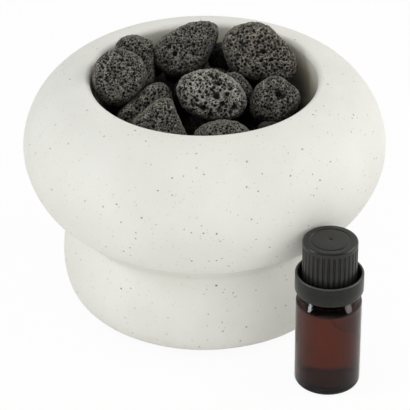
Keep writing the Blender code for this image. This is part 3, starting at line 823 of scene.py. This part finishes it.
def pored(points, normals, pores, ragged, chooser):
    """Pores pressed in along the normals. Also returns each point's share of painted shade in a pore and of
    painted highlight on a pore's rim.
    """
    tree = KDTree(len(points))
    for i, point in enumerate(points):
        tree.insert(point, i)
    tree.balance()
    depth = np.zeros(len(points))
    share = np.zeros(len(points))
    rim_highlight = np.zeros(len(points))
    for centre, radius in pores:
        sink = radius * chooser.uniform(*PORE_DEPTH)
        for _, i, distance in tree.find_range(centre, radius * PORE_SEARCH):
            reach = distance / radius * (1.0 + PORE_RAGGED * ragged[i])
            if reach < 1.0:
                depth[i] = max(depth[i], sink * (1.0 - reach * reach) ** 0.5)
                # painted shade in the pore's middle
                share[i] = max(share[i], min(1.0, PORE_EDGE * (1.0 - reach)))
            elif reach < 1.0 + RIM_WIDTH:
                rim_highlight[i] = max(rim_highlight[i], (1.0 + RIM_WIDTH - reach) / RIM_WIDTH)
    return points - normals * depth[:, None], share, rim_highlight * (1.0 - share)


def make_stone(node, material, seed, voxel, coarse, cells):
    mesh = remeshed(node, voxel)
    points, normals = arrays_of(mesh)
    area = sum(face.area for face in mesh.polygons)
    points, ragged, ridge, cell_shade = roughened(points, normals, seed, cells)
    points = scooped(node, points, normals)
    chooser = random.Random(seed)
    smallest = max(PORE_SMALLEST, voxel)
    largest = max(PORE_LARGEST * coarse, PORE_LEAST_RANGE * smallest)
    pores = pore_list(node, points, chooser, area, smallest, largest)
    points, share, rim_highlight = pored(points, normals, pores, ragged, chooser)
    mesh.vertices.foreach_set("co", points.ravel())
    # painted shade in the pores and in the cell middles
    share = np.maximum(share, cell_shade)
    # painted light: paler where the stone faces up
    painted_light = np.clip(TOP_LIGHT_LEVEL + TOP_LIGHT_TILT * normals[:, 2], *TOP_LIGHT_RANGE)
    # painted highlight on pore rims and ridges, stronger where the stone faces up
    rim_highlight = np.maximum(rim_highlight, ridge) * (1.0 - share) * painted_light
    for name, values in (("pore_shade", share), ("rim_highlight", rim_highlight), ("painted_light", painted_light)):
        attribute = mesh.attributes.new(name, "FLOAT", "POINT")
        attribute.data.foreach_set("value", values.astype(np.float32))
    mesh.update()
    mesh.shade_smooth()
    add_piece(node + "_rock", mesh, material, "diffuser", node)


def make_stones():
    """All stones of the heap: two with looks of their own, the plain ones that show, and those below in a
    darker copy of the rock that is painted shade.
    """
    rock = {name: lava_material(name) for name in LAVA_LOOKS}
    own_looks = {
        "lava_stone_04": (rock["lava_brown"], PORE_COARSE, HONEY_CELLS),
        "lava_stone_07": (rock["lava_grey"], PORE_COARSE, DEEP_CELLS),
    }
    for seed, node in enumerate(sorted(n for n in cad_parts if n.startswith("lava_stone"))):
        seen = node in SEEN_STONES
        # the stones below take the darker copy of the rock, painted shade
        plain = (rock["lava_charcoal" if seen else "lava_shaded_below"], 1.0, PLAIN_CELLS)
        material, coarse, cells = own_looks.get(node, plain)
        make_stone(node, material, seed, SEEN_VOXEL if seen else DEEP_VOXEL, coarse, cells)


def glass_outline():
    """The glass's outline, its shoulder fuller and straighter than in the solid, as photographed."""
    profile, closed = meridian("bottle_glass")
    if profile[0][1] > profile[-1][1]:
        profile.reverse()
    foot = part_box("oil_fill")[1].z
    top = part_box("tamper_ring")[0].z
    wide = max(radius for radius, height in profile)
    crown = max(range(len(profile)), key=lambda i: profile[i][1])
    outline = []
    for i, (radius, height) in enumerate(profile):
        if not foot < height < top:
            outline.append((radius, height))
        elif i > crown:
            outline.append((radius, height + SHOULDER_LIFT))
        elif radius > wide - NEAR:
            outline.append((radius, height + SHOULDER_EDGE_LIFT))
    return outline, closed


def make_glass(material):
    """The bottle's glass, with its stippled sole in painted shade."""
    profile, closed = glass_outline()
    profile = refined(eased(profile, closed, GLASS_ROUND), closed, GLASS_PIECES)
    mesh = revolved("bottle_glass", profile, closed, BOTTLE_STEPS, node_centre("bottle_glass"))
    piece = add_piece("bottle_glass_form", mesh, material, "bottle", "bottle_glass")
    # the sole's faces take a near-black painted shade
    piece.data.materials.append(shaded_sole_material())
    for face in piece.data.polygons:
        if face.center.z < SOLE_TOP:
            face.material_index = 1


def make_thread(material):
    """The glass thread round the neck, under the cap."""
    centre = node_centre("bottle_glass")
    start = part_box("tamper_ring")[1].z + THREAD_RISE
    neck = max(radius for radius, height in meridian("bottle_glass")[0] if height > start)
    sides = len(THREAD_SECTION)
    steps = int(THREAD_STEPS * THREAD_TURNS)
    builder = bmesh.new()
    rings = []
    for k in range(steps + 1):
        turn = 2 * math.pi * THREAD_TURNS * k / steps
        fade = min(1.0, k / THREAD_FADE, (steps - k) / THREAD_FADE)
        height = start + THREAD_PITCH * turn / (2 * math.pi)
        ring = []
        for up, out in THREAD_SECTION:
            reach = neck + THREAD_HEIGHT * (out * fade if out > 0.0 else out)
            x = centre.x + reach * math.cos(turn)
            y = centre.y + reach * math.sin(turn)
            ring.append(builder.verts.new((x, y, height + up * MM)))
        rings.append(ring)
    for first, second in zip(rings, rings[1:]):
        for k in range(sides):
            after = (k + 1) % sides
            builder.faces.new((first[k], first[after], second[after], second[k]))
    builder.faces.new(rings[0])
    builder.faces.new(rings[-1])
    mesh = smooth_mesh("neck_thread", builder)
    add_piece("neck_thread", mesh, material, "bottle")


def make_ring():
    """The tamper ring, its lip thinner and its dish shallower than in the solid, as photographed."""
    profile, closed = meridian("tamper_ring")
    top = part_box("tamper_ring")[1].z
    upper = [i for i in range(len(profile)) if profile[i][1] > top - NEAR]
    lip = min(upper, key=lambda i: profile[i][0])
    radius = profile[lip][0]
    slope = [(radius + RING_LIP, top), (radius - RING_DISH_REACH, top - RING_DISH_DEPTH)]
    profile[lip:lip + 1] = slope
    profile = refined(eased(profile, closed, RING_ROUND), closed, CLOSURE_PIECES)
    mesh = revolved("tamper_ring", profile, closed, BOTTLE_STEPS, node_centre("tamper_ring"))
    # the ring takes a darker copy of the cap's plastic, painted shade, and a painted highlight on its top
    # edge
    black = plastic_material("black_ring_plastic_shaded", highlight_height=top - RING_HIGHLIGHT_DROP)
    add_piece("tamper_ring_form", mesh, black, "bottle", "tamper_ring")


def make_cap():
    """The cap turned from its own outline, with broad ribs parted by narrow grooves."""
    profile, closed = meridian("screw_cap")
    low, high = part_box("screw_cap")
    radius = (high.x - low.x) / 2
    profile = refined(eased(profile, closed, CAP_ROUND), closed, CLOSURE_PIECES)
    top = high.z - RIB_BAND

    def ribbed(reach, height, turn):
        if reach < radius - RIB_SKIN or height > top:
            return reach
        run = min(1.0, (top - height) / RIB_RUN)
        valley = (math.cos(turn * RIB_COUNT) * -0.5 + 0.5 - (1.0 - GROOVE_SHARE)) / GROOVE_SHARE
        return reach - RIB_DEPTH * run * max(0.0, valley) ** RIB_POWER

    steps = RIB_COUNT * RIB_STEPS
    mesh = revolved("screw_cap", profile, closed, steps, node_centre("screw_cap"), ribbed)
    black = plastic_material("black_cap_plastic")
    add_piece("screw_cap_form", mesh, black, "cap", "screw_cap")


def make_oil():
    """The oil, which wets the glass up into the shoulder.

    Its skin lies inside the glass wall, so that no film of air shows between them.
    """
    profile, closed = meridian("oil_fill")
    low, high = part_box("oil_fill")
    inside = (high.x - low.x) / 2 + OIL_WET
    sides = [(radius + OIL_WET, height - OIL_WET) for radius, height in profile
             if 0.0 < radius and height < high.z]
    lining = [(radius + OIL_SKIN, height) for radius, height in glass_outline()[0]
              if 0.0 < radius < inside and high.z < height < high.z + OIL_RISE]
    wall = sorted(sides + lining, key=lambda point: point[1])
    wet = [(0.0, low.z - OIL_WET)] + wall + [(0.0, wall[-1][1])]
    profile = refined(wet, closed, GLASS_PIECES)
    mesh = revolved("oil_fill", profile, closed, BOTTLE_STEPS, node_centre("oil_fill"))
    add_piece("oil_fill_form", mesh, oil_material(), "bottle", "oil_fill")


def make_bottle():
    amber = glass_material()
    make_glass(amber)
    make_thread(amber)
    make_ring()
    make_cap()
    make_oil()
    paint("dropper_insert", plastic_material("natural_plastic"))
    paint("cap_liner", plastic_material("liner_foam"))


def make_stage():
    bpy.ops.mesh.primitive_plane_add(size=FLOOR_SIZE, location=(0.0, 0.0, FLOOR_HEIGHT))
    floor = bpy.context.object
    floor.name = "studio_floor"
    floor.data.materials.append(floor_material())


def make_world():
    """White to the eye, a soft glow on things, and a white backdrop under a dark ceiling to gloss."""
    world = bpy.data.worlds.new("studio")
    bpy.context.scene.world = world
    world.use_nodes = True
    tree = world.node_tree
    way = add_node(tree, "ShaderNodeTexCoord").outputs["Generated"]
    split = add_node(tree, "ShaderNodeSeparateXYZ", {"Vector": way}).outputs
    tops = (BACKDROP_TOP_FRONT, BACKDROP_TOP_REAR)
    backdrop_top = spread(tree, split["Y"], -BACKDROP_TURN, BACKDROP_TURN, *tops)
    backdrop_fade = calc(tree, "SUBTRACT", backdrop_top, BACKDROP_FADE)
    studio = spread(tree, split["Z"], backdrop_fade, backdrop_top, BACKDROP, CEILING)
    glow = spread(tree, split["Z"], 0.0, 1.0, AMBIENT_LOW, AMBIENT_HIGH)
    seen, glossy, through = ways_of_seeing(tree)
    level = blended(tree, calc(tree, "MAXIMUM", glossy, through), glow, studio)
    back = tree.nodes["Background"]
    back.inputs["Color"].default_value = WHITE
    tree.links.new(blended(tree, seen, level, 1.0), back.inputs["Strength"])


def make_lights():
    for name, (place, wide, high, power, colour) in LAMPS.items():
        light = bpy.data.lights.new(name, "AREA")
        light.shape = "RECTANGLE"
        light.size = wide
        light.size_y = high
        light.energy = power
        light.color = colour
        lamp = bpy.data.objects.new(name, light)
        lamp.location = place
        lamp.rotation_euler = (LAMP_AIM - Vector(place)).to_track_quat("-Z", "Y").to_euler()
        bpy.context.scene.collection.objects.link(lamp)


def make_camera():
    data = bpy.data.cameras.new("camera")
    data.lens = CAMERA_LENS
    data.sensor_width = CAMERA_SENSOR
    camera = bpy.data.objects.new("camera", data)
    away = Vector((0.0, -math.cos(CAMERA_ELEVATION), math.sin(CAMERA_ELEVATION)))
    tilt = Matrix.Rotation(math.pi / 2 - CAMERA_ELEVATION, 4, "X")
    roll = Matrix.Rotation(CAMERA_ROLL, 4, "Z")
    place = Matrix.Translation(CAMERA_TARGET + away * CAMERA_DISTANCE)
    camera.matrix_world = place @ (tilt @ roll)
    bpy.context.scene.collection.objects.link(camera)
    bpy.context.scene.camera = camera


bpy.context.scene.view_settings.view_transform = "Standard"
make_camera()
make_world()
make_lights()
make_stage()
make_vessel()
make_pad()
make_stones()
make_bottle()
